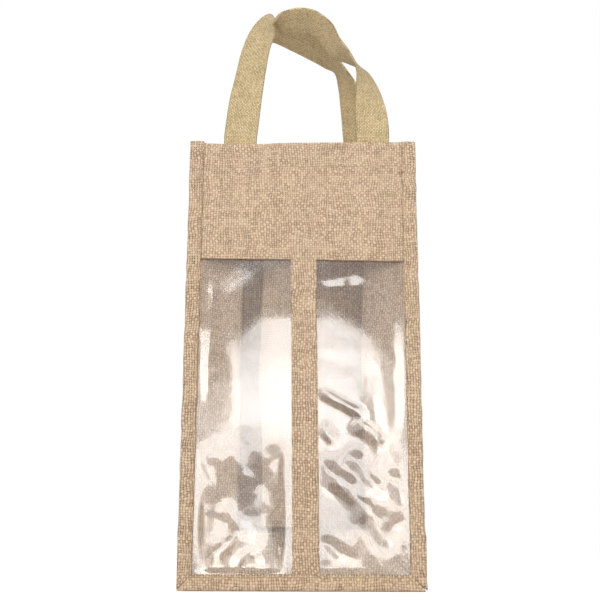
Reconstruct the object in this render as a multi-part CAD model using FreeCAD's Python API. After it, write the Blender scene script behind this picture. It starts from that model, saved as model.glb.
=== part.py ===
"""Two-bottle jute gift bag with a clear front window and two webbing handles.

The bag stands half open: its sides and its base are folded inwards along their middle creases.
Frame: origin on the floor at the middle of the footprint, +Z up, the window faces -Y.
Millimetres.
"""
import FreeCAD, Part
import math
import os

# Overall sizes
bag_width = 200.0            # across the outer edges of the side bindings
bag_height = 384.0           # floor to mouth
open_depth = 50.0            # from the front seam plane to the back seam plane
side_cloth_width = 85.0      # unfolded width of the side, base and divider cloth between its seams

# Cloth and film
jute_thickness = 1.2
film_thickness = 0.5
side_binding_width = 12.0
bottom_binding_width = 13.0
edge_allowance = 0.3         # from a cloth's cut edge to the fold of the binding round it
binding_setback = 1.0        # the binding's inner flap stops this far short of the seam

# Front face
top_panel_height = 108.5
film_top_margin = 12.0       # how far the film runs up behind the top panel
strip_width = 21.0
hem_height = 25.0
hem_end_gap = 2.0            # the hem stops this far short of the side seams

# Divider between the two bottles
divider_margin = 9.0         # flap of the divider that is sewn behind the centre strip
divider_base_gap = 3.0       # clearance over the crease of the base
divider_mouth_gap = 50.0     # the divider stops this far below the mouth

# Side hems at the mouth
side_hem_start = 6.0         # distance from the seam, along the cloth, to where the side hem begins

# Handles
webbing_width = 28.0
webbing_thickness = 2.0
leg_spacing = 118.0          # between the middles of a handle's two legs
handle_rise = 136.0          # mouth to the top of the arch
arch_outer_radius = 65.0
arch_band_width = 22.0       # height of the twisted webbing over the arch
handle_end_length = 28.0     # sewn end inside the mouth
mouth_clearance = 1.0        # the handle's hinge line lies this far above the mouth
leg_start = 0.5              # the free leg begins this far above the hinge line
end_stop = 0.2               # the sewn end stops this far short of the hinge line

# Sewing thread
thread_width = 0.6
thread_height = 0.4
thread_inset = 2.0           # from the inner edge of a binding, or the edge of a handle end

# Where things lie, worked out from the sizes above
half_width = bag_width / 2
front_plane = open_depth / 2                             # inner face of the film; the back mirrors it
seam_x = half_width - side_binding_width
seam_z = bottom_binding_width
panel_inner = front_plane + film_thickness
panel_outer = panel_inner + jute_thickness
margin_inner = front_plane - jute_thickness
flap_inner = margin_inner - jute_thickness               # inner face of the binding's inner flap
binding_outer = panel_outer + jute_thickness
slot_x = half_width - jute_thickness                     # inside of the binding's fold at the sides
slot_z = jute_thickness                                  # inside of the binding's fold at the bottom
cut_x = slot_x - edge_allowance
cut_z = slot_z + edge_allowance
fold_y = margin_inner + jute_thickness / 2               # middle of the folded cloth at its seams
fold_inset = math.sqrt((side_cloth_width / 2) ** 2 - fold_y ** 2)
corner_sum = seam_x + seam_z                             # |x| + z on the mitre of the lower corners
window_top = bag_height - top_panel_height
hem_bottom = bag_height - hem_height
hem_inner = panel_inner - jute_thickness
hinge_z = bag_height + mouth_clearance
arch_centre_z = bag_height + handle_rise - arch_outer_radius
reach = bag_width + bag_height                           # longer than anything that is cut


def block(x_range, y_range, z_range):
    """A box between two x, two y and two z values, given in any order."""
    low = [min(pair) for pair in (x_range, y_range, z_range)]
    size = [max(pair) - min(pair) for pair in (x_range, y_range, z_range)]
    return Part.makeBox(size[0], size[1], size[2], FreeCAD.Vector(*low))


def prism(outline, place, along):
    """A closed outline of points (a, b), put into space by place(a, b) and extruded by a vector."""
    corners = [place(a, b) for a, b in outline]
    wire = Part.makePolygon(corners + corners[:1])
    return Part.Face(wire).extrude(FreeCAD.Vector(*along))


def prism_xz(outline, y_start, y_end):
    """An outline in X and Z, extruded from y_start to y_end."""
    return prism(outline, lambda x, z: FreeCAD.Vector(x, y_start, z), (0, y_end - y_start, 0))


def mirrored(shape, normal):
    """The mirror image of a shape in the plane through the origin with this normal."""
    return shape.mirror(FreeCAD.Vector(0, 0, 0), FreeCAD.Vector(*normal))


def right_of(shape):
    """The right-hand twin of a piece that was made on the left."""
    return mirrored(shape, (1, 0, 0))


def back_of(shape):
    """The back twin of a piece that was made at the front."""
    return mirrored(shape, (0, 1, 0))


def ribbon(path, thickness):
    """The outline of a bent strip: a path pushed half the thickness to each side, with sharp corners."""
    sides = ([], [])
    for i, (a, b) in enumerate(path):
        before = path[max(i - 1, 0)]
        after = path[min(i + 1, len(path) - 1)]
        normals = []
        for start, end in ((before, (a, b)), ((a, b), after)):
            length = math.hypot(end[0] - start[0], end[1] - start[1])
            if length > 0:
                normals.append(((start[1] - end[1]) / length, (end[0] - start[0]) / length))
        first, last = normals[0], normals[-1]
        spread = 1 + first[0] * last[0] + first[1] * last[1]
        push_a = (first[0] + last[0]) / spread * thickness / 2
        push_b = (first[1] + last[1]) / spread * thickness / 2
        sides[0].append((a + push_a, b + push_b))
        sides[1].append((a - push_a, b - push_b))
    return sides[0] + sides[1][::-1]


def front_binding(outline):
    """A folded strip of jute round the edges of the front layers, cut to an outline in X and Z."""
    folded = prism_xz(outline, -binding_outer, -flap_inner)
    slot = block((-slot_x, slot_x), (-panel_outer, -margin_inner), (slot_z, reach))
    setback_x = seam_x + binding_setback
    setback = block((-setback_x, setback_x), (-margin_inner, 0), (seam_z - binding_setback, reach))
    return folded.cut(slot).cut(setback)


def side_binding():
    """Left front binding, mitred at its lower end against the bottom one."""
    outline = [(-half_width, 0), (-half_width, bag_height), (-seam_x, bag_height), (-seam_x, seam_z)]
    return front_binding(outline)


def bottom_binding():
    """Front bottom binding: the lower edge of the bag, which stands on the floor."""
    outline = [(-half_width, 0), (half_width, 0), (seam_x, seam_z), (-seam_x, seam_z)]
    return front_binding(outline)


def window_film():
    """Clear film over the whole front below the top panel, its edges inside the bindings."""
    return block((-cut_x, cut_x), (-panel_inner, -front_plane), (cut_z, window_top + film_top_margin))


def front_panel(z_bottom, half_span):
    """A flat layer of jute in front of the film, from z_bottom up to the mouth."""
    return block((-half_span, half_span), (-panel_outer, -panel_inner), (z_bottom, bag_height))


def center_strip():
    """Jute strip down the middle of the window, from the top panel into the bottom binding."""
    half_strip = strip_width / 2
    return block((-half_strip, half_strip), (-panel_outer, -panel_inner), (cut_z, window_top))


def hem():
    """The front panel's upper edge, turned down inside the mouth."""
    end_x = seam_x - hem_end_gap
    return block((-end_x, end_x), (-panel_inner, -hem_inner), (hem_bottom, bag_height))


def left_gusset():
    """Side cloth, folded inwards on its middle crease, with a flap in each binding."""
    crease_x = seam_x - fold_inset
    path = [(-cut_x, -fold_y), (-seam_x, -fold_y), (-crease_x, 0), (-seam_x, fold_y), (-cut_x, fold_y)]
    upright = prism(ribbon(path, jute_thickness), lambda x, y: FreeCAD.Vector(x, y, 0), (0, 0, bag_height))
    above_mitre = [(-corner_sum, 0), (-corner_sum + reach, reach), (-corner_sum, reach)]
    return upright.common(prism_xz(above_mitre, -reach, reach))


def left_gusset_hem():
    """The side cloth's upper edge, turned down on the side of the bottles."""
    crease_x = seam_x - fold_inset
    seam_to_crease = side_cloth_width / 2
    along_x, along_y = fold_inset / seam_to_crease, fold_y / seam_to_crease
    start = (seam_x - side_hem_start * along_x - jute_thickness * along_y,
             fold_y - side_hem_start * along_y + jute_thickness * along_x)
    crease = crease_x - jute_thickness / along_y
    path = [(-start[0], -start[1]), (-crease, 0), (-start[0], start[1])]
    outline = ribbon(path, jute_thickness)
    return prism(outline, lambda x, y: FreeCAD.Vector(x, y, hem_bottom), (0, 0, hem_height))


def base():
    """Base cloth, folded upwards on its middle crease, with a flap in each bottom binding."""
    path = [(-fold_y, cut_z), (-fold_y, seam_z), (0, seam_z + fold_inset), (fold_y, seam_z), (fold_y, cut_z)]
    trough = prism(ribbon(path, jute_thickness), lambda y, z: FreeCAD.Vector(-cut_x, y, z),
                   (2 * cut_x, 0, 0))
    below_mitres = [(-corner_sum, 0), (corner_sum, 0), (0, corner_sum)]
    return trough.common(prism_xz(below_mitres, -reach, reach))


def divider():
    """Cloth between the two bottles, sewn to the front strip and the back, folded to the left."""
    path = [(divider_margin, -fold_y), (0, -fold_y), (-fold_inset, 0), (0, fold_y), (divider_margin, fold_y)]
    crease_top = seam_z + fold_inset
    low_z = crease_top + divider_base_gap
    high_z = bag_height - divider_mouth_gap
    outline = ribbon(path, jute_thickness)
    return prism(outline, lambda x, y: FreeCAD.Vector(x, y, low_z), (0, 0, high_z - low_z))


def binding_thread():
    """The line of stitching along the front's side and bottom bindings."""
    y_range = (-binding_outer - thread_height, -binding_outer)
    line_x = seam_x + thread_inset
    line_z = seam_z - thread_inset
    outer = block((-line_x - thread_width, line_x + thread_width), y_range, (line_z - thread_width, bag_height))
    inner = block((-line_x, line_x), y_range, (line_z, reach))
    return outer.cut(inner)


def end_block(side, inset, y_range):
    """A block over one sewn handle end, smaller by inset all round; side is -1 left or 1 right."""
    middle = side * leg_spacing / 2
    half_span = webbing_width / 2 - inset
    z_top = hinge_z - end_stop
    return block((middle - half_span, middle + half_span), y_range,
                 (z_top - handle_end_length + inset, z_top - inset))


def handle_ends():
    """The two ends of the front handle, sewn flat against the inside of the hem."""
    y_range = (-hem_inner, -hem_inner + webbing_thickness)
    return Part.makeCompound([end_block(side, 0, y_range) for side in (-1, 1)])


def handle_thread():
    """A rectangle of stitching through each front handle end."""
    face_y = -hem_inner + webbing_thickness
    y_range = (face_y, face_y + thread_height)
    loops = []
    for side in (-1, 1):
        outer = end_block(side, thread_inset, y_range)
        loops.append(outer.cut(end_block(side, thread_inset + thread_width, y_range)))
    return Part.makeCompound(loops)


def handle():
    """Front handle: two upright legs that run into a round arch, in one plane just inside the mouth."""
    z_start = hinge_z + leg_start
    y_start = -hem_inner
    foot_out = leg_spacing / 2 + webbing_width / 2
    foot_in = leg_spacing / 2 - webbing_width / 2
    arch_inner_radius = arch_outer_radius - arch_band_width

    def point(x, z):
        return FreeCAD.Vector(x, y_start, z)

    def arch(radius):
        return Part.Arc(point(-radius, arch_centre_z), point(0, arch_centre_z + radius),
                        point(radius, arch_centre_z)).toShape()

    def leg_edge(side, foot_x, arch_x):
        return Part.makeLine(point(side * foot_x, z_start), point(side * arch_x, arch_centre_z))

    edges = [leg_edge(-1, foot_out, arch_outer_radius), arch(arch_outer_radius),
             leg_edge(1, foot_out, arch_outer_radius),
             Part.makeLine(point(foot_out, z_start), point(foot_in, z_start)),
             leg_edge(1, foot_in, arch_inner_radius), arch(arch_inner_radius),
             leg_edge(-1, foot_in, arch_inner_radius),
             Part.makeLine(point(-foot_in, z_start), point(-foot_out, z_start))]
    outline = Part.Wire(Part.__sortEdges__(edges))
    return Part.Face(outline).extrude(FreeCAD.Vector(0, webbing_thickness, 0))


def pieces():
    """Every piece of the bag by its node's name."""
    left_front = side_binding()
    low_front = bottom_binding()
    return {
        "front_top_panel": front_panel(window_top, cut_x),
        "front_hem": hem(),
        "window_film": window_film(),
        "center_strip": center_strip(),
        "front_left_binding": left_front,
        "front_right_binding": right_of(left_front),
        "front_bottom_binding": low_front,
        "front_binding_thread": binding_thread(),
        "front_handle_ends": handle_ends(),
        "front_handle_thread": handle_thread(),
        "front_handle": handle(),
        "back_panel": back_of(front_panel(cut_z, cut_x)),
        "back_hem": back_of(hem()),
        "back_left_binding": back_of(left_front),
        "back_right_binding": back_of(right_of(left_front)),
        "back_bottom_binding": back_of(low_front),
        "back_binding_thread": back_of(binding_thread()),
        "back_handle_ends": back_of(handle_ends()),
        "back_handle_thread": back_of(handle_thread()),
        "back_handle": back_of(handle()),
        "left_gusset": left_gusset(),
        "right_gusset": right_of(left_gusset()),
        "left_gusset_hem": left_gusset_hem(),
        "right_gusset_hem": right_of(left_gusset_hem()),
        "base": base(),
        "divider": divider(),
    }


def main():
    """Write each piece to its own STEP file."""
    os.makedirs("parts", exist_ok=True)
    for name, shape in pieces().items():
        if not shape.isValid() or shape.Volume <= 0:
            raise ValueError(name + " is not a valid solid")
        shape.exportStep("parts/" + name + ".step")
        low = shape.BoundBox
        print("%-22s solids %d  volume %9.1f  x %7.2f %7.2f  y %7.2f %7.2f  z %7.2f %7.2f" % (
            name, len(shape.Solids), shape.Volume, low.XMin, low.XMax, low.YMin, low.YMax,
            low.ZMin, low.ZMax))


main()
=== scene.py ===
"""Two-bottle jute gift bag with a crinkled clear window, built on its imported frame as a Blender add-on."""
import math

import bpy
import numpy as np
from bpy.props import FloatProperty, FloatVectorProperty, PointerProperty
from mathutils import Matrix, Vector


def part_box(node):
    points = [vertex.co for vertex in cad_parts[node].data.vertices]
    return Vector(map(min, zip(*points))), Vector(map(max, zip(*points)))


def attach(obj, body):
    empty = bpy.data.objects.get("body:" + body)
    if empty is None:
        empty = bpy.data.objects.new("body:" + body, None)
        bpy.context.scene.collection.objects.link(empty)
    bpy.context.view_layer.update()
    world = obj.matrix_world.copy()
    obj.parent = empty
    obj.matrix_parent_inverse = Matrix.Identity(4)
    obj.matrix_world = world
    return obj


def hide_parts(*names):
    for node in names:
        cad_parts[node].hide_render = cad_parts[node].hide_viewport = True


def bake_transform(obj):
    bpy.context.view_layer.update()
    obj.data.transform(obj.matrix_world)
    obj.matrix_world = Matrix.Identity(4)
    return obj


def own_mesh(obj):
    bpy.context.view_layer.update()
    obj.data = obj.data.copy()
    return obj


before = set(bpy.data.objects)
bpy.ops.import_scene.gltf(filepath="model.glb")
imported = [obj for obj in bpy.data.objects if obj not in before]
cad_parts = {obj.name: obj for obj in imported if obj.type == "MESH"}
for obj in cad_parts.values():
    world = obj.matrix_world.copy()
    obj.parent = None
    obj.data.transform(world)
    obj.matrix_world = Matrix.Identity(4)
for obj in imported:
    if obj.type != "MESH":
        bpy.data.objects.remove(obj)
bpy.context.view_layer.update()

bl_info = {
    "name": "Window gift bag",
    "version": (1, 0, 0),
    "blender": (4, 5, 0),
    "location": "View3D > Sidebar > Gift Bag",
    "description": "Makes a two-bottle jute gift bag with a clear front window",
    "category": "Add Mesh",
}

MM = 0.001


# ---- sizes read from the frame

def corners(node):
    """A node's lowest and highest corner as two arrays, in metres."""
    low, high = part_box(node)
    return np.array(low), np.array(high)


SIDE_LOW, SIDE_HIGH = corners("front_left_binding")
PANEL_LOW, PANEL_HIGH = corners("front_top_panel")
FILM_LOW, FILM_HIGH = corners("window_film")
ENDS_LOW, ENDS_HIGH = corners("front_handle_ends")
HALF_WIDTH = -SIDE_LOW[0]
SEAM_X = -SIDE_HIGH[0]
SEAM_Z = corners("front_bottom_binding")[1][2]
MOUTH_Z = SIDE_HIGH[2]
BINDING_OUT_Y = -SIDE_LOW[1]
BINDING_IN_Y = -SIDE_HIGH[1]
JUTE = PANEL_HIGH[1] - PANEL_LOW[1]
PANEL_Y = -(PANEL_LOW[1] + PANEL_HIGH[1]) / 2
WINDOW_TOP = PANEL_LOW[2]
CUT_X = PANEL_HIGH[0]
CUT_Z = FILM_LOW[2]
FILM_Y = -(FILM_LOW[1] + FILM_HIGH[1]) / 2
FILM_TOP = FILM_HIGH[2]
SEAM_PLANE = -FILM_HIGH[1]
FOLD_Y = SEAM_PLANE - JUTE / 2
HEM_Z = corners("front_hem")[0][2]
HEM_Y = PANEL_Y - JUTE
STRIP_HALF = corners("center_strip")[1][0]
DIVIDER_LOW, DIVIDER_HIGH = corners("divider")
WEBBING_Y = -(ENDS_LOW[1] + ENDS_HIGH[1]) / 2
CORNER_SUM = SEAM_X + SEAM_Z        # |x| + z on the mitre of the lower corners


# ---- settings

def length(name, default, description):
    """A setting in metres."""
    return FloatProperty(name=name, default=default, unit="LENGTH", description=description)


def colour(name, default, description):
    """A colour setting."""
    return FloatVectorProperty(name=name, subtype="COLOR", size=3, default=default, description=description)


def brightness(name, default, description):
    """A light's setting, where 1 is as bright as a white sky."""
    return FloatProperty(name=name, default=default, description=description)


class BagSizes(bpy.types.PropertyGroup):
    """Sizes of the cloth, film and stitches that the frame leaves open."""
    side_cloth: length(
        "Side cloth", 0.085, "Unfolded width of the side, base and divider cloth between its seams")
    jute_pitch: length("Jute yarn pitch", 0.0022, "Distance between neighbouring jute yarns")
    webbing_pitch: length("Webbing yarn pitch", 0.0015, "Distance between neighbouring cotton yarns")
    webbing_width: length("Webbing width", 0.028, "Width of the handles")
    webbing_thickness: length("Webbing thickness", 0.0018, "Thickness of the handles")
    film_thickness: length("Film thickness", 0.0003, "Thickness of the clear film")
    crumple: length("Crumple depth", 0.0006, "Depth of the fine crumples in the lower part of the film")
    billow: length("Billow", 0.0008, "How far the flat cloth bows in and out")
    stitch_length: length("Stitch length", 0.0034, "Length of one stitch with its gap")
    thread_radius: length("Thread radius", 0.0003, "Radius of the sewing thread")


class BagColours(bpy.types.PropertyGroup):
    """Colours of the cloth, webbing and film."""
    jute_light: colour("Jute, light yarns", (0.80, 0.60, 0.425), "Lightest yarns of the panels")
    jute_dark: colour("Jute, dark yarns", (0.57, 0.405, 0.275), "Darkest yarns of the panels")
    # Painted shade: the gap colour stands in for the shade between the yarns of the panels.
    jute_gap_shade: colour("Jute, gaps", (0.24, 0.155, 0.095), "Between the yarns of the panels")
    binding_light: colour("Binding, light yarns", (0.80, 0.605, 0.42), "Lightest yarns of the bindings")
    binding_dark: colour("Binding, dark yarns", (0.54, 0.38, 0.25), "Darkest yarns of the bindings")
    # Painted shade: the gap colour stands in for the shade between the yarns of the bindings.
    binding_gap_shade: colour("Binding, gaps", (0.20, 0.125, 0.075), "Between the yarns of the bindings")
    webbing_light: colour("Webbing, light yarns", (0.80, 0.63, 0.37), "Lightest yarns of the handles")
    webbing_dark: colour("Webbing, dark yarns", (0.52, 0.39, 0.20), "Darkest yarns of the handles")
    thread: colour("Thread", (0.62, 0.46, 0.26), "Sewing thread")
    film: colour("Film", (0.94, 0.94, 0.93), "Clear film")


class BagStage(bpy.types.PropertyGroup):
    """Camera, floor and lights."""
    lens: FloatProperty(name="Lens", default=60.0, description="Focal length in millimetres")
    distance: length("Distance", 0.855, "Camera to the middle of the bag")
    shift: length("Sideways", -0.0012, "Camera to the right of the middle")
    height: length("Height", 0.0313, "Camera over the floor")
    pitch: FloatProperty(
        name="Pitch", default=math.radians(14.1), unit="ROTATION", description="How far the camera looks up")
    roll: FloatProperty(
        name="Roll", default=math.radians(-0.2), unit="ROTATION", description="How far the camera leans")
    front_light: brightness("Front light", 3.2, "Brightness of the narrow softbox in front")
    low_light: brightness("Low light", 1.9, "Brightness of the low softbox under it")
    wide_light: brightness("Wide light", 1.1, "Brightness of the wide softbox behind it")
    side_light: brightness("Side lights", 3.2, "Brightness of the softboxes left and right")
    top_light: brightness("Top light", 1.0, "Brightness of the softbox above")
    back_light: brightness("Back light", 2.0, "Brightness of the softbox behind")
    sky: brightness("Ambient", 0.42, "Brightness of the light from all round")


# ---- shapes

def lattice(a, b, cell, seed):
    """Smooth noise from -1 to 1: random values on a square lattice of this cell size, blended with a
    smoothstep along both directions."""
    side = 64
    table = np.random.default_rng(seed).uniform(-1, 1, (side, side))
    a = np.asarray(a, float) / cell + 500
    b = np.asarray(b, float) / cell + 500
    i, j = np.floor(a).astype(int), np.floor(b).astype(int)
    s, t = a - i, b - j
    s, t = s * s * (3 - 2 * s), t * t * (3 - 2 * t)
    low = table[i % side, j % side] * (1 - s) + table[(i + 1) % side, j % side] * s
    high = table[i % side, (j + 1) % side] * (1 - s) + table[(i + 1) % side, (j + 1) % side] * s
    return low * (1 - t) + high * t


def smooth(value, start, end):
    """0 before start, 1 after end, and a smoothstep between them."""
    t = np.clip((np.asarray(value, float) - start) / (end - start), 0, 1)
    return t * t * (3 - 2 * t)


def grid(first, second):
    """Two arrays of parameters as a grid, the first one down the rows."""
    return np.meshgrid(np.asarray(first, float), np.asarray(second, float), indexing="ij")


def section_grid(count, start, end, steps):
    """An index into a cross-section down the rows, and a parameter from start to end across them."""
    index, along = grid(np.arange(count), np.linspace(start, end, steps))
    return index.astype(int), along


def points(x, y, z):
    """Three arrays as one array of points."""
    return np.stack(np.broadcast_arrays(x, y, z), -1)


def unit(vectors):
    """Vectors at length one."""
    return vectors / np.maximum(np.linalg.norm(vectors, axis=-1, keepdims=True), 1e-12)


def shell(centre, uv, thickness):
    """A closed sheet: its middle surface pushed half the thickness to both sides along the normal, and
    joined round the edge by a rounded rim. Returns vertices, quads and a UV for each vertex."""
    rows, columns = centre.shape[:2]
    down, across = unit(np.gradient(centre, axis=0)), unit(np.gradient(centre, axis=1))
    normal = unit(np.cross(down, across))
    half = (np.ones((rows, columns)) * thickness / 2)[..., None]
    outward = np.zeros_like(centre)
    outward[0] -= down[0]
    outward[-1] += down[-1]
    outward[:, 0] -= across[:, 0]
    outward[:, -1] += across[:, -1]
    rim = centre + unit(outward) * half * 0.8
    index = np.arange(rows * columns).reshape(rows, columns)
    quads = np.stack([index[:-1, :-1], index[1:, :-1], index[1:, 1:], index[:-1, 1:]], -1).reshape(-1, 4)
    loop = np.concatenate([index[:-1, 0], index[-1, :-1], index[:0:-1, -1], index[0, :0:-1]])
    after = np.roll(loop, -1)
    count = rows * columns
    middle = 2 * count + np.arange(len(loop))
    middle_after = np.roll(middle, -1)
    front_rim = np.stack([after, loop, middle, middle_after], -1)
    back_rim = np.stack([middle_after, middle, loop + count, after + count], -1)
    vertices = np.concatenate([(centre + normal * half).reshape(-1, 3),
                               (centre - normal * half).reshape(-1, 3), rim.reshape(-1, 3)[loop]])
    flat_uv = uv.reshape(-1, 2)
    uvs = np.concatenate([flat_uv, flat_uv + 0.31, flat_uv[loop]])
    return vertices, np.concatenate([quads, quads[:, ::-1] + count, front_rim, back_rim]), uvs


def joined(parts):
    """Several (vertices, quads, UVs) as one."""
    offsets = np.cumsum([0] + [len(part[0]) for part in parts[:-1]])
    vertices = np.concatenate([part[0] for part in parts])
    quads = np.concatenate([part[1] + offset for part, offset in zip(parts, offsets)])
    return vertices, quads, np.concatenate([part[2] for part in parts])


def make_piece(name, shape, material, replaced=()):
    """A named object from (vertices, quads, UVs), with its UVs in metres in the map called cloth."""
    vertices, quads, uvs = shape
    mesh = bpy.data.meshes.new(name)
    mesh.from_pydata(vertices.tolist(), [], quads.tolist())
    layer = mesh.uv_layers.new(name="cloth")
    corner_vertices = np.empty(len(mesh.loops), np.int32)
    mesh.loops.foreach_get("vertex_index", corner_vertices)
    layer.data.foreach_set("uv", uvs[corner_vertices].astype(np.float32).ravel())
    mesh.polygons.foreach_set("use_smooth", np.ones(len(mesh.polygons), bool))
    mesh.materials.append(material)
    mesh.validate()
    piece = bpy.data.objects.new(name, mesh)
    bpy.context.scene.collection.objects.link(piece)
    if replaced:
        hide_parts(*replaced)
    return piece


def flatten_with_fold(piece):
    """Cloth between front and back: it rides on the back, with a mesh of its own."""
    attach(piece, "back")
    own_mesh(piece)


def bow(x, z, side):
    """How far the front (side -1) or back (side 1) face bows along Y: soft noise that fades at the seams."""
    sizes = bpy.context.scene.bag_sizes
    fade = 1 - smooth(np.abs(x), 0.6 * SEAM_X, SEAM_X)
    return side * sizes.billow * lattice(x, z, 0.075, 11 + side) * fade


def mouth_wave(x):
    """Height of the mouth's edge above its mean line: a dip at the left handle and a rise to the right."""
    return -1.3 * MM * np.exp(-((x + 50 * MM) / (28 * MM)) ** 2) + 0.8 * MM * x / HALF_WIDTH


def arc_lengths(path):
    """Distance along a path of points, from its start to each point."""
    steps = np.linalg.norm(np.diff(path, axis=0), axis=1)
    return np.concatenate([[0], np.cumsum(steps)])


def face_cloth(side, bottom_z, bottom_slope):
    """A flat face of jute from bottom_z to the mouth, where it turns over in a half circle and runs down
    inside as the hem; side is -1 at the front and 1 at the back."""
    rise = np.linspace(0, 1, 90)
    turn_radius = (PANEL_Y - HEM_Y) / 2
    turn_z = MOUTH_Z - turn_radius - JUTE / 2
    turn = np.linspace(0, math.pi, 9)[1:-1]
    path_y = np.concatenate([np.full(90, PANEL_Y), PANEL_Y - turn_radius + turn_radius * np.cos(turn),
                             np.full(14, HEM_Y)])
    path_z = np.concatenate([bottom_z + (turn_z - bottom_z) * rise, turn_z + turn_radius * np.sin(turn),
                             np.linspace(turn_z, HEM_Z, 14)])
    lengths = arc_lengths(np.stack([path_y, path_z], -1))
    hem_start = 90 + len(turn)
    half_span = np.full(len(path_y), CUT_X)
    half_span[hem_start:] = SEAM_X - 5 * MM
    row, across = section_grid(len(path_y), -1, 1, 121)
    x = across * half_span[row]
    z = path_z[row] + mouth_wave(x) * (path_z[row] / MOUTH_Z) ** 6
    z += bottom_slope * across * (1 - smooth(path_z[row], bottom_z, bottom_z + 40 * MM))
    y = side * path_y[row] + bow(x, path_z[row], side)
    return shell(points(x, y, z), np.stack([x + 0.3, lengths[row] + 0.05 * side], -1), JUTE)


def binding_profile():
    """Cross-section of a folded binding as (share of its width from the seam, y): along the front flap,
    round the fold and back along the inner flap. Each flap swells between its stitch line and its fold."""
    mid_out, mid_in = BINDING_OUT_Y - JUTE / 2, BINDING_IN_Y + JUTE / 2
    radius = (mid_out - mid_in) / 2
    width = HALF_WIDTH - SEAM_X
    straight = width - radius - JUTE / 2
    along = np.linspace(0, 1, 12)
    turn = np.linspace(0, math.pi, 11)[1:-1]
    groove = -0.35 * MM * np.exp(-((along * straight - 2 * MM) / (0.8 * MM)) ** 2)
    swell = 0.3 * MM * np.sin(math.pi * np.clip((along - 0.2) / 0.8, 0, 1))
    r = np.concatenate([along * straight, straight + radius * np.sin(turn), straight * along[::-1]])
    r[-1] += 1 * MM
    y = np.concatenate([mid_out + groove + swell, (mid_out + mid_in) / 2 + radius * np.cos(turn),
                        np.full(12, mid_in)])
    return r / width, y


def side_binding(side, x_side, step_height):
    """A side binding: the profile carried up from the mitre to the mouth, where its end closes over.
    Below step_height the bottom binding's end wraps over it and it stands proud."""
    share, y = binding_profile()
    lengths = arc_lengths(np.stack([share * (HALF_WIDTH - SEAM_X), y], -1))
    column, rise = section_grid(len(share), 0, 1, 150)
    r = share[column]
    start_z = SEAM_Z * (1 - r) + JUTE / 2 * r + 0.4 * MM
    z = start_z + (MOUTH_Z - start_z) * rise
    x = SEAM_X + (HALF_WIDTH - SEAM_X) * r
    mid_y = (BINDING_OUT_Y + BINDING_IN_Y) / 2
    closing = smooth(z, MOUTH_Z - 2.5 * MM, MOUTH_Z)
    y_now = y[column] + (mid_y - y[column]) * closing * 0.55
    z = z + closing * (0.7 * MM + 0.5 * MM * lattice(x, y_now, 3 * MM, 5))
    wobble = 0.35 * MM * lattice(z, x_side + side, 9 * MM, 21)
    x = x + wobble * (1 - closing)
    if step_height > 0:
        step = 1 - smooth(z, step_height - 0.6 * MM, step_height + 0.6 * MM)
        x = x + 0.9 * MM * step * smooth(r, 0.4, 1)
        y_now = y_now + 0.5 * MM * step * np.where(column < 14, 1, 0)
    uv = np.stack([lengths[column] + 0.07, z + 0.4], -1)
    return shell(points(x_side * x, side * y_now, z), uv, JUTE)


def bottom_binding(side):
    """The bottom binding: the profile carried from mitre to mitre along the floor."""
    share, y = binding_profile()
    lengths = arc_lengths(np.stack([share * SEAM_Z, y], -1))
    column, run = section_grid(len(share), -1, 1, 121)
    r = share[column]
    half_span = SEAM_X + (HALF_WIDTH - SEAM_X) * r - 0.4 * MM
    x = run * half_span
    z = SEAM_Z * (1 - r)
    z = np.maximum(z, JUTE / 2) + 0.3 * MM * lattice(x, side, 12 * MM, 31) * (1 - r) * smooth(1 - r, 0, 0.5)
    uv = np.stack([x + 0.4, lengths[column] + 0.2], -1)
    return shell(points(x, side * y[column], z), uv, JUTE)


# Furrows of the film in millimetres: start x, start z, end x, end z, depth, half width.
FURROWS = [
    (-88, 47, -8, 45, 3.2, 35), (-72, 77, -10, 73, 1.3, 25), (-82, 112, -62, 62, 0.7, 7),
    (-52, 128, -34, 80, 0.8, 7), (-16, 118, -38, 70, 0.9, 8), (-76, 22, -54, 42, 0.8, 6),
    (-28, 34, -56, 22, 0.5, 5),
    (12, 162, 56, 139, 0.7, 4), (44, 136, 68, 116, 0.9, 6), (12, 106, 72, 44, 1.5, 9),
    (38, 114, 66, 70, 1.3, 9), (16, 132, 28, 118, 0.6, 5), (14, 40, 44, 23, 0.6, 4.5),
    (72, 96, 84, 70, 0.8, 6), (84, 58, 62, 36, 0.8, 7), (60, 160, 64, 80, 0.35, 4),
    (12, 249, 54, 252, 0.42, 7), (14, 212, 60, 203, 0.07, 5), (12, 190, 58, 176, 0.09, 6),
    (-77, 262, -78, 140, 0.5, 6), (78, 225, 79, 120, 0.35, 6), (-34, 232, -40, 150, 0.10, 7)]


def furrow_depth(x, z):
    """All furrows added up: each is a bell across its line, and fades before both ends."""
    total = np.zeros_like(x)
    for start_x, start_z, end_x, end_z, depth, half_width in FURROWS:
        start = np.array([start_x, start_z]) * MM
        line = np.array([end_x, end_z]) * MM - start
        length = np.hypot(*line)
        wander = 0.28 * min(half_width, 9) * MM * lattice(x + z, x - z, 14 * MM, int(abs(start_x) + start_z))
        along = ((x - start[0]) * line[0] + (z - start[1]) * line[1]) / length
        across = ((x - start[0]) * line[1] - (z - start[1]) * line[0]) / length + wander
        inside = smooth(along, -4 * MM, 0.3 * length) * (1 - smooth(along, 0.7 * length, length + 4 * MM))
        total += depth * MM * np.exp(-(across / (half_width * MM)) ** 2) * inside
    return total


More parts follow.
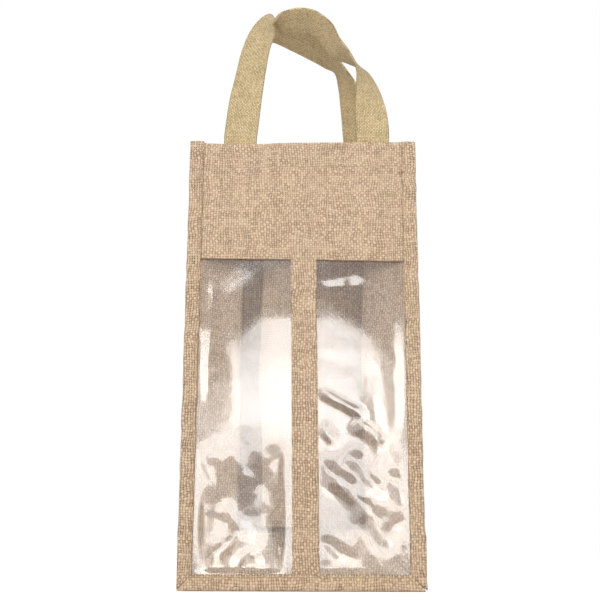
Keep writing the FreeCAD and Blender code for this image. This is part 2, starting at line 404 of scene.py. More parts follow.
def crumples(x, z):
    """Height field of the film: furrows, a soft pillow between its seams, broad ripples, and in the
    lower part sharp ridges from folded noise drawn out along slanting lines."""
    sizes = bpy.context.scene.bag_sizes
    sides = np.minimum(np.abs(x) - STRIP_HALF, SEAM_X - np.abs(x))
    held = (smooth(sides, 0, 9 * MM) * smooth(z, SEAM_Z, SEAM_Z + 5 * MM)
            * (1 - smooth(z, WINDOW_TOP - 4 * MM, WINDOW_TOP + 4 * MM)))
    low = 1 - smooth(z, 70 * MM, 165 * MM)
    slant = 1 - np.abs(lattice(x + 0.7 * z, (z - x) * 0.3, 31 * MM, 42)) ** 0.8
    cross = 1 - np.abs(lattice(x - 0.6 * z, (z + x) * 0.3, 37 * MM, 45)) ** 0.8
    ripple = lattice(x, z * 0.6, 38 * MM, 43)
    small = lattice(x + 0.5 * z, z - 0.5 * x, 9 * MM, 44)
    sharp = (0.7 * slant + 0.5 * cross - 0.5 + 0.12 * small) * low
    broad = (0.18 + 0.4 * low) * ripple
    drop = smooth(z - 12 * MM * np.cos((np.abs(x) - 20 * MM) / (16 * MM)), 208 * MM, 262 * MM)
    lean = 1.1 * MM * drop * smooth(CUT_X - np.abs(x), 0, 8 * MM)
    return held * (sizes.crumple * (sharp + broad) - furrow_depth(x, z)) - lean


def window_film():
    """The film: a flat sheet with the crumples as its height."""
    sizes = bpy.context.scene.bag_sizes
    x, z = grid(np.linspace(-CUT_X, CUT_X, 182), np.linspace(CUT_Z, FILM_TOP, 264))
    y = -FILM_Y + bow(x, z, -1) - crumples(x, z)
    return shell(points(x, y, z), np.stack([x + 0.3, z], -1), sizes.film_thickness)


def center_strip():
    """The strip down the window, its long edges turned under so that they stand proud."""
    across, rise = grid(np.linspace(-1, 1, 15), np.linspace(0, 1, 120))
    z = CUT_Z + (WINDOW_TOP + 1 * MM - CUT_Z) * rise
    lean = 3.8 * MM - 2.6 * MM * rise
    x = across * STRIP_HALF * (1 + 0.015 * lattice(z, across, 14 * MM, 51)) + lean
    edge_lift = 0.25 * MM * smooth(np.abs(across), 0.55, 0.9)
    y = -(PANEL_Y - 0.1 * MM) + bow(x, z, -1) - edge_lift - 0.2 * MM * lattice(x, z, 20 * MM, 52)
    return shell(points(x, y, z), np.stack([x + 0.6, z], -1), JUTE)


def fold_inset():
    """How far a crease stands in from its seams: the third side of a triangle with half the cloth as its
    long side and half the bag's depth as one other."""
    return math.sqrt((bpy.context.scene.bag_sizes.side_cloth / 2) ** 2 - FOLD_Y ** 2)


def v_fold(margin, steps=45):
    """Half section of a folded cloth as (distance in from the seam, y, share): a flap outside the front
    seam, in to the crease, and out to the flap at the back seam. The crease is slightly rounded."""
    share = np.linspace(-1, 1, steps)
    softness = 0.05
    depth = (math.hypot(1, softness) - np.hypot(share, softness)) / (math.hypot(1, softness) - softness)
    flap = np.array([1.0, 0.5])
    inward = np.concatenate([-margin * flap, fold_inset() * depth, -margin * flap[::-1]])
    y = np.concatenate([[-FOLD_Y] * 2, FOLD_Y * share, [FOLD_Y] * 2])
    return inward, y, np.concatenate([[-1, -1], share, [1, 1]])


TUCK_SLANT = 0.7         # share of a pleat's height that goes along each of X and Z


def corner_tuck(share, distance):
    """Height of the pinched pleat along the mitre of a lower corner, at a distance from it."""
    length_share = np.sin(math.pi * np.clip(np.abs(share), 0, 1)) ** 0.7
    return 2.2 * MM * np.exp(-(distance / (3.5 * MM)) ** 2) * length_share


def looseness(share):
    """How far a folded cloth can move: not at all at its seams, where share is -1 or 1, and most at its
    crease."""
    return (1 - np.abs(share)) ** 0.7


def side_dent(x_side, z, y):
    """Broad dents of a side cloth, shallower towards the hem at its mouth."""
    return (1.6 - 1.3 * smooth(z, 300 * MM, HEM_Z)) * MM * lattice(z, y, 45 * MM, 61 + x_side)


def side_gusset(x_side):
    """A side cloth: the folded section carried up from the mitre to the mouth, with soft dents."""
    inward, y, share = v_fold(CUT_X - SEAM_X)
    lengths = arc_lengths(np.stack([inward, y], -1))
    column, rise = section_grid(len(inward), 0, 1, 130)
    loose = looseness(share[column])
    flat_x = SEAM_X - inward[column]
    start_z = np.maximum(CORNER_SUM - flat_x, CUT_Z)
    z = start_z + (MOUTH_Z - start_z) * rise
    dent = side_dent(x_side, z, y[column]) + 0.5 * MM * lattice(z, y[column], 12 * MM, 63)
    tuck = corner_tuck(share[column], (z - start_z) / math.sqrt(2))
    x = flat_x + dent * loose - TUCK_SLANT * tuck
    y_now = y[column] + 0.6 * dent * loose * np.sign(y[column])
    uv = np.stack([lengths[column] + 0.1, z + 0.1 * x_side], -1)
    return shell(points(x_side * x, y_now, z + TUCK_SLANT * tuck), uv, JUTE)


def gusset_hem(x_side):
    """The side cloth's upper edge turned down inside: the same section, one cloth further in."""
    inward, y, share = v_fold(0)
    keep = np.abs(share) <= 0.86
    inward, y = inward[keep], y[keep]
    lengths = arc_lengths(np.stack([inward, y], -1))
    column, fall = section_grid(len(inward), 0, 1, 12)
    loose = looseness(y[column] / FOLD_Y)
    z = MOUTH_Z - (MOUTH_Z - HEM_Z) * fall
    dent = side_dent(x_side, z, y[column])
    x = SEAM_X - inward[column] + dent * loose - JUTE * 1.7
    y_now = y[column] + 0.6 * dent * loose * np.sign(y[column])
    uv = np.stack([lengths[column] + 0.2, z], -1)
    return shell(points(x_side * x, y_now, z), uv, JUTE)


def base_cloth():
    """The base: the folded section turned upwards and carried from mitre to mitre."""
    inward, y, share = v_fold(SEAM_Z - CUT_Z)
    lengths = arc_lengths(np.stack([inward, y], -1))
    column, run = section_grid(len(inward), -1, 1, 121)
    height = SEAM_Z + inward[column]
    half_span = np.minimum(CORNER_SUM - height, CUT_X)
    x = run * half_span
    loose = looseness(share[column])
    dent = 1.0 * MM * lattice(x, y[column], 40 * MM, 71) + 0.4 * MM * lattice(x, y[column], 11 * MM, 72)
    dent = dent * loose * smooth(half_span - np.abs(x), 0, 12 * MM)
    tuck = corner_tuck(share[column], (half_span - np.abs(x)) / math.sqrt(2))
    x_now = x - TUCK_SLANT * tuck * np.sign(x)
    z_now = height + dent + TUCK_SLANT * tuck
    uv = np.stack([x + 0.3, lengths[column]], -1)
    return shell(points(x_now, y[column] + 0.3 * dent, z_now), uv, JUTE)


def divider_cloth():
    """The divider: the folded section with its crease to the left, carried up between the bottles."""
    inward, y, share = v_fold(DIVIDER_HIGH[0])
    lengths = arc_lengths(np.stack([inward, y], -1))
    column, rise = section_grid(len(inward), 0, 1, 90)
    z = DIVIDER_LOW[2] + (DIVIDER_HIGH[2] - DIVIDER_LOW[2]) * rise
    loose = looseness(share[column])
    dent = 2.0 * MM * lattice(z, y[column], 60 * MM, 81) + 0.5 * MM * lattice(z, y[column], 14 * MM, 82)
    uv = np.stack([lengths[column] + 0.15, z], -1)
    return shell(points(dent * loose - inward[column], y[column], z), uv, JUTE)


# Rows of a handle's middle line (x, y, z in millimetres) and the direction across it, foot to foot: up
# the left leg, a quarter twist into the arch, whose width lies nearly level, and down the right leg.
FRONT_ROUTE = [
    (-55.6, -23.3, 390, 1, 0, 0), (-54, -23.3, 405, 1, 0, 0), (-51.5, -23.3, 428, 0.99, -0.12, 0),
    (-47.8, -23.3, 451, 0.95, -0.3, 0), (-43.3, -23.3, 475, 0.91, -0.38, -0.05),
    (-37, -23.3, 493, 0.78, -0.45, -0.4), (-29.5, -23.5, 506, 0.12, -0.62, -0.76),
    (-22, -23.2, 503.5, 0.03, -0.97, 0.02), (-15, -23, 504, 0, -0.95, 0.28),
    (-4, -23, 505.5, 0, -0.92, 0.38), (10, -23, 503, 0.06, -0.92, 0.37),
    (22.5, -23, 492, 0.2, -0.93, 0.3), (29.5, -23, 479, 0.2, -0.96, 0.2),
    (41.5, -23.2, 469, 0, -0.98, -0.12), (53.5, -23.3, 456, -0.38, -0.88, -0.28),
    (59, -23.3, 437, -0.75, -0.62, -0.12), (61.3, -23.3, 415, -0.97, -0.2, 0),
    (62.3, -23.3, 400, -1, 0, 0), (62.5, -23.3, 390, -1, 0, 0)]
BACK_ROUTE = [
    (-58.8, 23.3, 390, -1, 0, 0), (-57.5, 23.3, 415, -1, 0, 0), (-54.5, 23.3, 445, -0.95, -0.3, 0),
    (-50.8, 23, 473, -0.8, -0.6, 0), (-46, 22.5, 499, -0.55, -0.83, 0.05),
    (-40, 21.8, 514, -0.2, -0.97, 0.12), (-29, 21.3, 518.5, 0, -0.97, 0.22),
    (-10, 22, 511.5, 0, -0.92, 0.38), (6, 22.4, 503.5, 0, -0.9, 0.43),
    (21, 22.4, 495, 0.08, -0.91, 0.38), (34.5, 21.6, 480, 0.22, -0.95, -0.2),
    (43.5, 20.5, 459, 0.6, -0.76, -0.25), (50, 21.8, 433, 0.9, -0.43, -0.05),
    (52.8, 23.2, 410, 1, -0.1, 0), (53.4, 23.3, 398, 1, 0, 0), (53.4, 23.3, 390, 1, 0, 0)]


def through(keys, count):
    """A smooth curve through key values: cubic Hermite spans whose tangents are half the difference of
    the neighbours, sampled evenly."""
    keys = np.asarray(keys, float)
    tangent = np.gradient(keys, axis=0)
    t = np.linspace(0, len(keys) - 1, count)
    i = np.minimum(t.astype(int), len(keys) - 2)
    s = (t - i)[:, None]
    return ((2 * s ** 3 - 3 * s ** 2 + 1) * keys[i] + (s ** 3 - 2 * s ** 2 + s) * tangent[i]
            + (3 * s ** 2 - 2 * s ** 3) * keys[i + 1] + (s ** 3 - s ** 2) * tangent[i + 1])


def strap(middle, across, width, thickness):
    """Flat webbing: the line across it carried along its middle line, thicker at its two woven edges."""
    lengths = arc_lengths(middle)
    row, share = section_grid(len(middle), -1, 1, 13)
    centre = middle[row] + across[row] * (share * width / 2)[..., None]
    edge = 1 + 0.12 * smooth(np.abs(share), 0.8, 0.95)
    uv = np.stack([share * width / 2 + 0.1, lengths[row]], -1)
    return shell(centre, uv, thickness * edge)


def handle_arch(route):
    """The free part of a handle, from just over the mouth at one leg to the other."""
    sizes = bpy.context.scene.bag_sizes
    keys = through(route, 260)
    middle, across = keys[:, :3] * MM, unit(keys[:, 3:])
    flutter = 0.5 * MM * lattice(arc_lengths(middle), 0, 25 * MM, 91)
    middle[:, 1] += flutter * smooth(middle[:, 2], MOUTH_Z + 15 * MM, MOUTH_Z + 40 * MM)
    return strap(middle, across, sizes.webbing_width, sizes.webbing_thickness)


def handle_foot(foot_x, side):
    """One sewn end of a handle: flat against the hem, up over the mouth and into the free part."""
    sizes = bpy.context.scene.bag_sizes
    z = np.linspace(ENDS_LOW[2], MOUTH_Z + 9 * MM, 45)
    middle = points(foot_x, side * WEBBING_Y, z)
    across = np.tile([float(-side), 0.0, 0.0], (len(z), 1))
    return strap(middle, across, sizes.webbing_width - 0.3 * MM, sizes.webbing_thickness - 0.25 * MM)


def stitches(path, normal):
    """Running stitches along a path: short tubes that rise from the cloth and dip back at both ends."""
    sizes = bpy.context.scene.bag_sizes
    path = np.asarray(path, float)
    lengths = arc_lengths(path)
    count = max(2, int(lengths[-1] / sizes.stitch_length))
    middle = (np.arange(count) + 0.5) / count * lengths[-1]
    along = np.array([-1.0, -0.8, 0.0, 0.8, 1.0])
    lift = np.array([-0.6, 0.3, 0.55, 0.3, -0.6]) * sizes.thread_radius
    girth = np.array([0.35, 0.9, 1.0, 0.9, 0.35]) * sizes.thread_radius
    where = middle[:, None] + along * sizes.stitch_length * 0.39
    spine = np.stack([np.interp(where, lengths, path[:, k]) for k in range(3)], -1)
    normal = np.asarray(normal, float)
    spine += lift[:, None] * normal
    forward = unit(spine[:, -1:] - spine[:, :1])
    sideways = unit(np.cross(forward, normal))
    angle = np.linspace(0, 2 * math.pi, 7)[:-1]
    ring = (np.cos(angle)[:, None] * sideways[:, :, None] + np.sin(angle)[:, None] * normal)
    vertices = spine[:, :, None] + ring * girth[:, None, None]
    k, a = grid(np.arange(4), np.arange(6))
    k, a = k.astype(int).ravel(), a.astype(int).ravel()
    tube = np.stack([k * 6 + a, k * 6 + (a + 1) % 6, (k + 1) * 6 + (a + 1) % 6, (k + 1) * 6 + a], -1)
    caps = np.array([[5, 4, 3, 2], [5, 2, 1, 0], [24, 25, 26, 27], [24, 27, 28, 29]])
    quads = (np.concatenate([tube, caps]) + np.arange(count)[:, None, None] * 30).reshape(-1, 4)
    vertices = vertices.reshape(-1, 3)
    return vertices, quads, vertices[:, [0, 2]] + 0.5


# ---- materials

class Wiring:
    """Adds nodes to one tree and links them."""

    def __init__(self, tree):
        self.tree = tree

    def add(self, kind, inputs=None, **settings):
        """A node with these settings; each input is a socket to link or a value to set."""
        node = self.tree.nodes.new(kind)
        for name, value in settings.items():
            setattr(node, name, value)
        for name, value in (inputs or {}).items():
            if isinstance(value, bpy.types.NodeSocket):
                self.tree.links.new(value, node.inputs[name])
            else:
                node.inputs[name].default_value = value
        return node

    def math(self, operation, *values):
        """The result of a math node."""
        inputs = dict(enumerate(values))
        return self.add("ShaderNodeMath", inputs, operation=operation).outputs[0]

    def noise(self, vector, scale, detail=0.0):
        """Noise from 0 to 1."""
        inputs = {"Vector": vector, "Scale": scale, "Detail": detail}
        return self.add("ShaderNodeTexNoise", inputs).outputs[0]

    def random(self, dimensions, **inputs):
        """A random value from 0 to 1 for each input."""
        return self.add("ShaderNodeTexWhiteNoise", inputs, noise_dimensions=dimensions).outputs[0]

    def vector(self, x, y, z=0.0):
        """Three values as a vector."""
        return self.add("ShaderNodeCombineXYZ", {0: x, 1: y, 2: z}).outputs[0]

    def blend(self, factor, first, second):
        """A colour between two colours."""
        inputs = {"Factor": factor, 6: first, 7: second}
        return self.add("ShaderNodeMix", inputs, data_type="RGBA").outputs[2]

    def remap(self, value, low, high, to_low=0.0, to_high=1.0):
        """A value moved smoothly from one range to another."""
        inputs = {"Value": value, 1: low, 2: high, 3: to_low, 4: to_high}
        return self.add("ShaderNodeMapRange", inputs, interpolation_type="SMOOTHSTEP").outputs[0]


def new_group(name, inputs, outputs):
    """A shader group with named sockets. Returns its wiring, its input node and its output node."""
    tree = bpy.data.node_groups.new(name, "ShaderNodeTree")
    for in_out, sockets in (("INPUT", inputs), ("OUTPUT", outputs)):
        for label, kind in sockets:
            tree.interface.new_socket(label, in_out=in_out, socket_type="NodeSocket" + kind)
    wiring = Wiring(tree)
    return wiring, wiring.add("NodeGroupInput"), wiring.add("NodeGroupOutput")


def yarn_system(w, index, across, along, seed, over, unevenness):
    """One set of yarns in a plain weave. Each yarn has its own width, which also swells and thins along
    it, a rounded back, and goes over and under. Returns its height and its tone, both from 0 to 1."""
    own = w.random("1D", W=w.math("ADD", index, seed))
    slub = w.noise(w.vector(w.math("MULTIPLY_ADD", index, 3.7, seed), w.math("MULTIPLY", along, 0.3)),
                   1.0, 1.0)
    fibre = w.noise(w.vector(w.math("MULTIPLY_ADD", across, 5.0, w.math("MULTIPLY", index, 9.1)),
                             w.math("MULTIPLY", along, 0.7)), 1.0, 1.0)
    spread = w.math("ADD", w.math("MULTIPLY", w.math("SUBTRACT", own, 0.5), 0.45),
                    w.math("MULTIPLY", w.math("SUBTRACT", slub, 0.5), 0.9))
    thin = w.math("MULTIPLY", w.math("POWER", own, 14.0), w.remap(slub, 0.35, 0.65))
    width = w.math("MULTIPLY_ADD", w.math("SUBTRACT", spread, w.math("MULTIPLY", thin, 0.7)), unevenness, 0.9)
    centred = w.math("MULTIPLY_ADD", w.math("FRACT", across), 2.0, -1.0)
    off = w.math("DIVIDE", w.math("ABSOLUTE", centred), width)
    back = w.math("SQRT", w.math("MAXIMUM", w.math("SUBTRACT", 1.0, w.math("MULTIPLY", off, off)), 0.0))
    crossing = w.math("SINE", w.math("MULTIPLY", w.math("FRACT", along), math.pi))
    wave = w.math("MULTIPLY_ADD", w.math("MULTIPLY", crossing, over), 0.5, 0.5)
    height = w.math("MULTIPLY", back, w.math("MULTIPLY_ADD", wave, 0.6, 0.4))
    tone = w.math("ADD", w.math("MULTIPLY", own, 0.12),
                  w.math("ADD", w.math("MULTIPLY", slub, 0.45), w.math("MULTIPLY", fibre, 0.55)))
    return height, tone


def weave_group():
    """Plain weave on the map called cloth: two sets of yarns at right angles whose lines wander a
    little. Puts out a colour, with painted shade that darkens it towards the gaps between the yarns and
    painted light that makes each warp yarn lighter where it lies on top, and the height of the yarns."""
    w, given, result = new_group(
        "Plain weave",
        [("Yarn Pitch", "Float"), ("Unevenness", "Float"), ("Light", "Color"), ("Dark", "Color"),
         ("Gap Shade", "Color")],
        [("Color", "Color"), ("Height", "Float")])
    cloth = w.add("ShaderNodeUVMap", uv_map="cloth").outputs[0]
    parts = w.add("ShaderNodeSeparateXYZ", {0: cloth}).outputs
    pitch, unevenness = given.outputs["Yarn Pitch"], given.outputs["Unevenness"]
    counts = []
    for axis, seed in ((0, 3.0), (1, 8.0)):
        shifted = w.add("ShaderNodeVectorMath", {0: cloth, 1: (seed,) * 3}, operation="ADD").outputs[0]
        wander = w.math("MULTIPLY", w.math("SUBTRACT", w.noise(shifted, 45.0, 1.0), 0.5),
                        w.math("MULTIPLY", unevenness, 4.0))
        counts.append(w.math("ADD", w.math("DIVIDE", parts[axis], pitch), wander))
    warp, weft = counts
    warp_index, weft_index = w.math("FLOOR", warp), w.math("FLOOR", weft)
    odd = w.math("FLOORED_MODULO", w.math("ADD", warp_index, weft_index), 2.0)
    over = w.math("MULTIPLY_ADD", odd, -2.0, 1.0)
    under = w.math("MULTIPLY", over, -1.0)
    warp_height, warp_tone = yarn_system(w, warp_index, warp, weft, 11.0, over, unevenness)
    weft_height, weft_tone = yarn_system(w, weft_index, weft, warp, 57.0, under, unevenness)
    height = w.math("MAXIMUM", warp_height, weft_height)
    on_top = w.math("GREATER_THAN", warp_height, weft_height)
    tone = w.add("ShaderNodeMix", {"Factor": on_top, 2: weft_tone, 3: warp_tone}).outputs[0]
    crossing = w.random("2D", Vector=w.vector(warp_index, weft_index))
    patch = w.noise(cloth, 60.0, 2.0)
    tone = w.math("ADD", w.math("MULTIPLY_ADD", crossing, 0.2, tone),
                  w.math("MULTIPLY_ADD", patch, 0.3, -0.38))
    # Painted light: where the warp yarn lies on top of a crossing it is made lighter, standing in for how
    # light falls differently on warp and weft.
    tone = w.math("MULTIPLY_ADD", on_top, 0.28, tone)
    yarn = w.blend(w.remap(tone, 0.2, 0.85), given.outputs["Dark"], given.outputs["Light"])
    # Painted shade: the colour darkens to the gap shade colour where the yarns are low, at their edges and in
    # the gaps between them.
    depth = w.math("MULTIPLY_ADD", w.math("SUBTRACT", crossing, 0.5), w.math("MULTIPLY", unevenness, 0.4),
                   height)
    colour = w.blend(w.remap(depth, 0.15, 0.85), given.outputs["Gap Shade"], yarn)
    w.tree.links.new(colour, result.inputs["Color"])
    w.tree.links.new(height, result.inputs["Height"])
    return w.tree


def new_material(name):
    """A material with one Principled shader. Returns it, its wiring and the shader."""
    material = bpy.data.materials.new(name)
    material.use_nodes = True
    shader = next(n for n in material.node_tree.nodes if n.type == "BSDF_PRINCIPLED")
    return material, Wiring(material.node_tree), shader


def set_values(shader, **values):
    """Plain numbers on a shader's own sockets; an underscore in a name stands for a space."""
    for name, value in values.items():
        shader.inputs[name.replace("_", " ")].default_value = value


def cloth_material(name, pitch, unevenness, light, dark, gap, relief, translucence=0.0):
    """Woven cloth: the weave's colour with its painted shade and painted light, and its height as relief."""
    material, w, shader = new_material(name)
    group = bpy.data.node_groups.get("Plain weave") or weave_group()
    weave = w.add("ShaderNodeGroup", node_tree=group)
    for label, value in (("Yarn Pitch", pitch), ("Unevenness", unevenness), ("Light", (*light, 1)),
                         ("Dark", (*dark, 1)), ("Gap Shade", (*gap, 1))):
        weave.inputs[label].default_value = value
    bump = w.add("ShaderNodeBump", {"Height": weave.outputs["Height"], "Distance": relief, "Strength": 0.8})
    w.tree.links.new(weave.outputs["Color"], shader.inputs["Base Color"])
    w.tree.links.new(bump.outputs[0], shader.inputs["Normal"])
    set_values(shader, Roughness=0.92, Specular_IOR_Level=0.2, Sheen_Weight=0.15, Sheen_Roughness=0.5,
               Subsurface_Weight=translucence, Subsurface_Radius=(1.0, 0.75, 0.5), Subsurface_Scale=0.004)
    return material


def film_material():
    """Clear soft film: glossy, slightly milky, with fine grain in its gloss."""
    colours = bpy.context.scene.bag_colours
    material, w, shader = new_material("clear_film")
    cloth = w.add("ShaderNodeUVMap", uv_map="cloth").outputs[0]
    broad = w.noise(cloth, 30.0, 1.0)
    bump = w.add("ShaderNodeBump",
                 {"Height": w.noise(cloth, 90.0, 2.0), "Distance": 0.0003, "Strength": 0.25})
    w.tree.links.new(bump.outputs[0], shader.inputs["Normal"])
    w.tree.links.new(w.remap(broad, 0.3, 0.7, 0.05, 0.14), shader.inputs["Roughness"])
    set_values(shader, Base_Color=(*colours.film, 1), Metallic=0.8, Alpha=0.13)
    return material


def thread_material():
    """Twisted sewing thread."""
    material, w, shader = new_material("thread")
    place = w.add("ShaderNodeTexCoord").outputs["Object"]
    twist = w.noise(place, 1500.0, 1.0)
    light = (*bpy.context.scene.bag_colours.thread, 1)
    dark = tuple(0.6 * channel for channel in light[:3]) + (1,)
    w.tree.links.new(w.blend(twist, dark, light), shader.inputs["Base Color"])
    bump = w.add("ShaderNodeBump", {"Height": twist, "Distance": 0.0002, "Strength": 0.6})
    w.tree.links.new(bump.outputs[0], shader.inputs["Normal"])
    set_values(shader, Roughness=0.75)
    return material


def finish_of(slot):
    """The material of a slot, made when it is first asked for."""
    sizes, colours = bpy.context.scene.bag_sizes, bpy.context.scene.bag_colours
    found = bpy.data.materials.get(slot + " finish")
    if found:
        return found
    if slot == "jute_panel":
        made = cloth_material(slot, sizes.jute_pitch, 0.75, colours.jute_light, colours.jute_dark,
                              colours.jute_gap_shade, 0.0006, translucence=0.3)
    elif slot == "jute_binding":
        made = cloth_material(slot, sizes.jute_pitch, 0.75, colours.binding_light, colours.binding_dark,
                              colours.binding_gap_shade, 0.0008)
    elif slot == "webbing":
        # Painted shade: the webbing's gap colour, its dark yarn colour at four tenths, stands in for the
        # shade between its yarns.
        gap = tuple(0.4 * channel for channel in colours.webbing_dark)
        made = cloth_material(slot, sizes.webbing_pitch, 0.5, colours.webbing_light, colours.webbing_dark,
                              gap, 0.0004)
    elif slot == "clear_film":
        made = film_material()
    else:
        made = thread_material()
    made.name = slot + " finish"
    return made


def cloth_piece(name, shape, slot, *replaced):
    """A piece in the finish of its slot."""
    return make_piece(name, shape, finish_of(slot), replaced)


# ---- operators

class BAG_OT_stage(bpy.types.Operator):
    """Pale floor, soft lights and the camera"""
    bl_idname = "bag.stage"
    bl_label = "Stage"

    def execute(self, context):
        stage = context.scene.bag_stage
        context.scene.view_settings.view_transform = "Standard"
        camera = bpy.data.cameras.new("camera")
        camera.lens, camera.sensor_width = stage.lens, 36
        holder = bpy.data.objects.new("camera", camera)
        holder.location = (stage.shift, -stage.distance, stage.height)
        holder.rotation_euler = (math.pi / 2 + stage.pitch, stage.roll, 0)
        context.scene.collection.objects.link(holder)
        context.scene.camera = holder
        self.make_floor(context)
        self.make_sky(context)
        upright = math.pi / 2
        for name, place, turn, size, radiance in (
                ("front softbox", (0, -2.0, 0.52), (upright, 0, 0), (0.44, 0.42), stage.front_light),
                ("low softbox", (0, -2.0, 0.165), (upright, 0, 0), (1.0, 0.29), stage.low_light),
                ("wide softbox", (0, -2.1, 0.29), (upright, 0, 0), (1.5, 0.56), stage.wide_light),
                ("left softbox", (-1.4, -1.6, 0.9), (upright - 0.2, 0, -0.72), (1.0, 1.3), stage.side_light),
                ("right softbox", (1.4, -1.6, 0.9), (upright - 0.2, 0, 0.72), (1.0, 1.3), stage.side_light),
                ("back softbox", (0.5, 2.2, 1.0), (0.3 - upright, 0, -0.2), (1.6, 1.2), stage.back_light),
                ("top softbox", (0, -0.4, 2.2), (0.18, 0, 0), (1.4, 1.4), stage.top_light)):
            self.add_softbox(context, name, place, turn, size, radiance)
        return {"FINISHED"}

    def add_softbox(self, context, name, place, turn, size, radiance):
        """A flat light of a given radiance that the camera doesn't see."""
        light = bpy.data.lights.new(name, "AREA")
        light.shape, light.size, light.size_y = "RECTANGLE", size[0], size[1]
        light.energy = radiance * math.pi * size[0] * size[1]
        holder = bpy.data.objects.new(name, light)
        holder.location, holder.rotation_euler = place, turn
        holder.visible_camera = False
        context.scene.collection.objects.link(holder)

    def make_floor(self, context):
        """A wide pale disc under the bag."""
        sides, radius, glow = 64, 60.0, 0.66
        angle, reach = grid(np.linspace(0, 2 * math.pi, sides + 1)[:-1], [0.001, radius])
        ring = points(np.cos(angle) * reach, np.sin(angle) * reach, 0 * reach - 0.0003).reshape(-1, 3)
        first = np.arange(sides) * 2
        after = (first + 2) % (2 * sides)
        quads = np.stack([first, first + 1, after + 1, after], -1)
        material, w, shader = new_material("floor")
        set_values(shader, Base_Color=(0.85, 0.85, 0.85, 1), Roughness=0.9, Specular_IOR_Level=0.1,
                   Emission_Color=(1, 1, 1, 1))
        seen = w.add("ShaderNodeLightPath").outputs["Is Camera Ray"]
        w.tree.links.new(w.math("MULTIPLY", seen, glow), shader.inputs["Emission Strength"])
        mesh = bpy.data.meshes.new("floor")
        mesh.from_pydata(ring.tolist(), [], quads.tolist())
        mesh.materials.append(material)
        floor = bpy.data.objects.new("floor", mesh)
        context.scene.collection.objects.link(floor)

    def make_sky(self, context):
        """White as the camera sees it, dimmer as a light."""
        world = bpy.data.worlds.new("sky")
        world.use_nodes = True
        context.scene.world = world
        w = Wiring(world.node_tree)
        background = next(n for n in world.node_tree.nodes if n.type == "BACKGROUND")
        seen = w.add("ShaderNodeLightPath").outputs["Is Camera Ray"]
        brightness = w.remap(seen, 0.0, 1.0, context.scene.bag_stage.sky, 1.0)
        w.tree.links.new(brightness, background.inputs["Strength"])
        background.inputs["Color"].default_value = (1, 1, 1, 1)


class BAG_OT_faces(bpy.types.Operator):
    """Front top panel and back panel, each with its hem turned down inside the mouth"""
    bl_idname = "bag.faces"
    bl_label = "Panels"

    def execute(self, context):
        front = cloth_piece("top_panel", face_cloth(-1, WINDOW_TOP, -1.3 * MM), "jute_panel",
                            "front_top_panel", "front_hem")
        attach(front, "front")
        back = cloth_piece("back_cloth", face_cloth(1, CUT_Z, 0), "jute_panel", "back_panel", "back_hem")
        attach(back, "back")
        return {"FINISHED"}


class BAG_OT_window(bpy.types.Operator):
    """Clear film and the strip down its middle"""
    bl_idname = "bag.window"
    bl_label = "Window"

    def execute(self, context):
        film = cloth_piece("film", window_film(), "clear_film", "window_film")
        strip = cloth_piece("middle_strip", center_strip(), "jute_binding", "center_strip")
        for piece in (film, strip):
            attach(piece, "front")
        return {"FINISHED"}


class BAG_OT_bindings(bpy.types.Operator):
    """Folded jute round the side and bottom edges of both faces"""
    bl_idname = "bag.bindings"
    bl_label = "Bindings"

    def execute(self, context):
        for side, body, neighbour in ((-1, "front", "film"), (1, "back", "back_cloth")):
            sides = joined([side_binding(side, -1, 0), side_binding(side, 1, 45 * MM)])
            upright = cloth_piece("side_bindings_" + body, sides, "jute_binding",
                                  body + "_left_binding", body + "_right_binding")
            low = cloth_piece("bottom_binding_" + body, bottom_binding(side), "jute_binding",
                              body + "_bottom_binding")
            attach(upright, body)
            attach(low, body)
            strip = self.strip_width()
        return {"FINISHED"}

    def strip_width(self):
        """Width of a binding before it is folded over the edge: the length of its cross-section."""
        share, y = binding_profile()
        return arc_lengths(np.stack([share * (HALF_WIDTH - SEAM_X), y], -1))[-1]


class BAG_OT_inside(bpy.types.Operator):
    """Side cloths, base and divider, all folded on their middle creases"""
    bl_idname = "bag.inside"
    bl_label = "Inside cloths"

    def execute(self, context):
        for word, x_side in (("left", -1), ("right", 1)):
            side = cloth_piece(word + "_side_cloth", side_gusset(x_side), "jute_panel", word + "_gusset")
            hem = cloth_piece(word + "_side_hem", gusset_hem(x_side), "jute_panel", word + "_gusset_hem")
            for piece in (side, hem):
                flatten_with_fold(piece)
        base = cloth_piece("base_cloth", base_cloth(), "jute_panel", "base")
        flatten_with_fold(base)
        wall = cloth_piece("divider_cloth", divider_cloth(), "jute_panel", "divider")
        flatten_with_fold(wall)
        return {"FINISHED"}


class BAG_OT_handles(bpy.types.Operator):
    """Two webbing handles with their sewn ends"""
    bl_idname = "bag.handles"
    bl_label = "Handles"

    def execute(self, context):
        for body, side, route in (("front", -1, FRONT_ROUTE), ("back", 1, BACK_ROUTE)):
            arch = cloth_piece(body + "_webbing", handle_arch(route), "webbing", body + "_handle")
            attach(arch, body + "_handle")
            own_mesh(arch)
            feet = [handle_foot(route[end][0] * MM, side) for end in (0, -1)]
            ends = cloth_piece(body + "_webbing_ends", joined(feet), "webbing", body + "_handle_ends")
            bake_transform(ends)
        return {"FINISHED"}


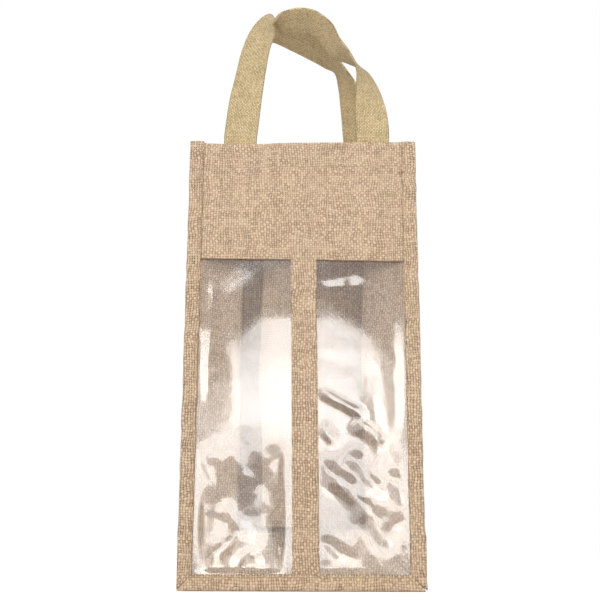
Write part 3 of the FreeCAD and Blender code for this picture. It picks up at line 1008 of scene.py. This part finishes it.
class BAG_OT_stitching(bpy.types.Operator):
    """Running stitches on the bindings, the hem and the handle ends"""
    bl_idname = "bag.stitching"
    bl_label = "Stitching"

    def execute(self, context):
        for body, side, route in (("front", -1, FRONT_ROUTE), ("back", 1, BACK_ROUTE)):
            seams = cloth_piece(body + "_seams", joined(self.seam_lines(side)), "thread",
                                body + "_binding_thread")
            boxes = cloth_piece(body + "_end_stitches", joined(self.end_boxes(side, route)), "thread",
                                body + "_handle_thread")
            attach(seams, body)
            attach(boxes, body)
        return {"FINISHED"}

    def seam_lines(self, side):
        """Lines 2 mm inside the edges of the bindings, and one across the hem."""
        line_x, line_z = SEAM_X + 2 * MM, SEAM_Z - 2 * MM
        face_y = side * (BINDING_OUT_Y - 0.3 * MM)
        outward = (0, side, 0)
        lines = [stitches([(x, face_y, line_z), (x, face_y, MOUTH_Z - 2 * MM)], outward)
                 for x in (-line_x, line_x)]
        lines.append(stitches([(-line_x, face_y, line_z), (line_x, face_y, line_z)], outward))
        x = np.linspace(-SEAM_X, SEAM_X, 80)
        hem_z = HEM_Z + 2 * MM
        hem_y = side * (PANEL_Y + JUTE / 2) + bow(x, hem_z, side)
        lines.append(stitches(points(x, hem_y, hem_z + mouth_wave(x) * 0.7), outward))
        return lines

    def end_boxes(self, side, route):
        """A rectangle with a cross through each handle end, on its inner face."""
        inner_y = side * (WEBBING_Y - bpy.context.scene.bag_sizes.webbing_thickness / 2)
        half, low, high = 11 * MM, ENDS_LOW[2] + 2.5 * MM, MOUTH_Z - 3 * MM
        lines = []
        for end in (0, -1):
            x = route[end][0] * MM
            box = [(x - half, low), (x + half, low), (x + half, high), (x - half, high)]
            runs = [(box[k], box[(k + 1) % 4]) for k in range(4)] + [(box[0], box[2]), (box[1], box[3])]
            lines += [stitches([(a[0], inner_y, a[1]), (b[0], inner_y, b[1])], (0, -side, 0))
                      for a, b in runs]
        return lines


class BAG_PT_gift_bag(bpy.types.Panel):
    """Buttons and settings of the gift bag"""
    bl_idname = "BAG_PT_gift_bag"
    bl_label = "Gift Bag"
    bl_space_type = "VIEW_3D"
    bl_region_type = "UI"
    bl_category = "Gift Bag"

    def draw(self, context):
        for group in (context.scene.bag_sizes, context.scene.bag_colours, context.scene.bag_stage):
            box = self.layout.box()
            for name in group.bl_rna.properties.keys():
                if name not in ("rna_type", "name"):
                    box.prop(group, name)
        for operator in OPERATORS:
            self.layout.operator(operator.bl_idname)


OPERATORS = (BAG_OT_stage, BAG_OT_faces, BAG_OT_window, BAG_OT_bindings, BAG_OT_inside, BAG_OT_handles,
             BAG_OT_stitching)
SETTINGS = (("bag_sizes", BagSizes), ("bag_colours", BagColours), ("bag_stage", BagStage))


def register():
    """Adds the classes and their settings."""
    for name, group in SETTINGS:
        bpy.utils.register_class(group)
        setattr(bpy.types.Scene, name, PointerProperty(type=group))
    for kind in (*OPERATORS, BAG_PT_gift_bag):
        bpy.utils.register_class(kind)


def unregister():
    """Removes them again."""
    for kind in (BAG_PT_gift_bag, *reversed(OPERATORS)):
        bpy.utils.unregister_class(kind)
    for name, group in reversed(SETTINGS):
        delattr(bpy.types.Scene, name)
        bpy.utils.unregister_class(group)


def main():
    """Makes the bag and its stage."""
    register()
    for operator in OPERATORS:
        category, name = operator.bl_idname.split(".")
        getattr(getattr(bpy.ops, category), name)()


if __name__ == "__main__":
    main()
